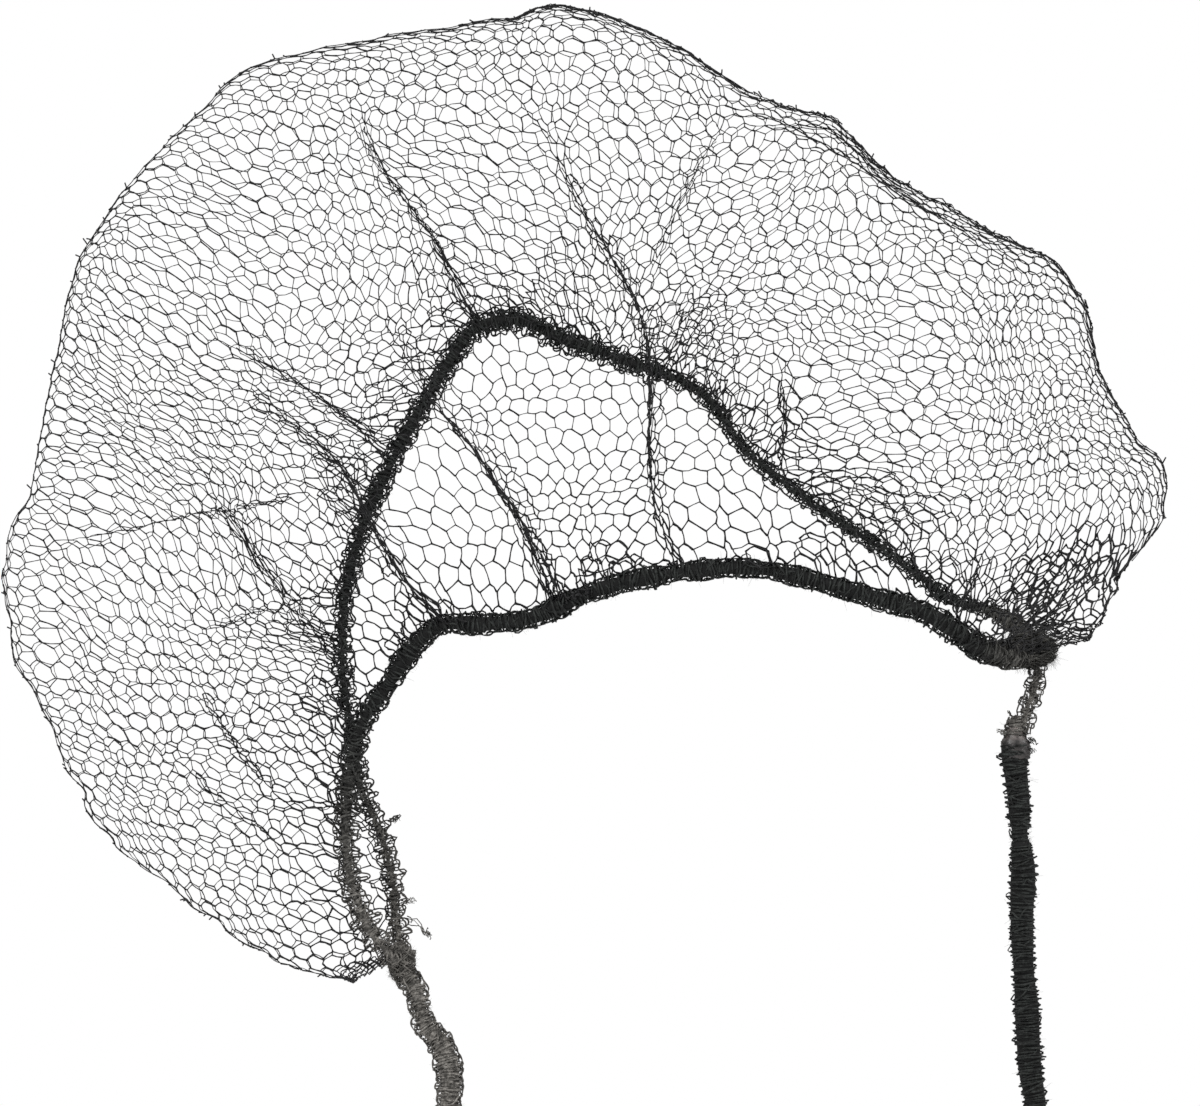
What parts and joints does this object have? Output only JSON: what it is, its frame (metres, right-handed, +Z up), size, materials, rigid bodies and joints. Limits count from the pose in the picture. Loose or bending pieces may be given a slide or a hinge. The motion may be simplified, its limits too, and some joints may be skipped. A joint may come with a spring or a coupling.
{
  "type": "disposable beard net",
  "caption": "Shallow pouch of black honeycomb netting with a knitted elastic edge round its open mouth and one elastic head strap from corner to corner.",
  "frame": {"origin": "middle of the mouth, between the front and back edge bands, where the wearer's chin goes in", "axes": "+Z up, from the mouth into the pouch; +X along the pouch's width, towards the corner with the knot and the spliced strap; -Y towards the front wall, which covers the beard"},
  "size_m": [0.1847, 0.0432, 0.253],
  "materials": {
    "net_nylon": "fine black nylon strands knitted into an open honeycomb, slightly glossy",
    "edge_elastic": "matt black knitted elastic with fuzzy picot edges",
    "strap_elastic": "matt black ribbed knitted elastic"
  },
  "bodies": {
    "root": {"netting_front": "net_nylon", "netting_back": "net_nylon", "front_edge_band": "edge_elastic", "back_edge_band": "edge_elastic", "left_corner_join": "edge_elastic", "right_corner_knot": "edge_elastic", "strap_tail": "edge_elastic", "strap_splice": "edge_elastic", "head_strap": "strap_elastic"}
  },
  "joints": []
}
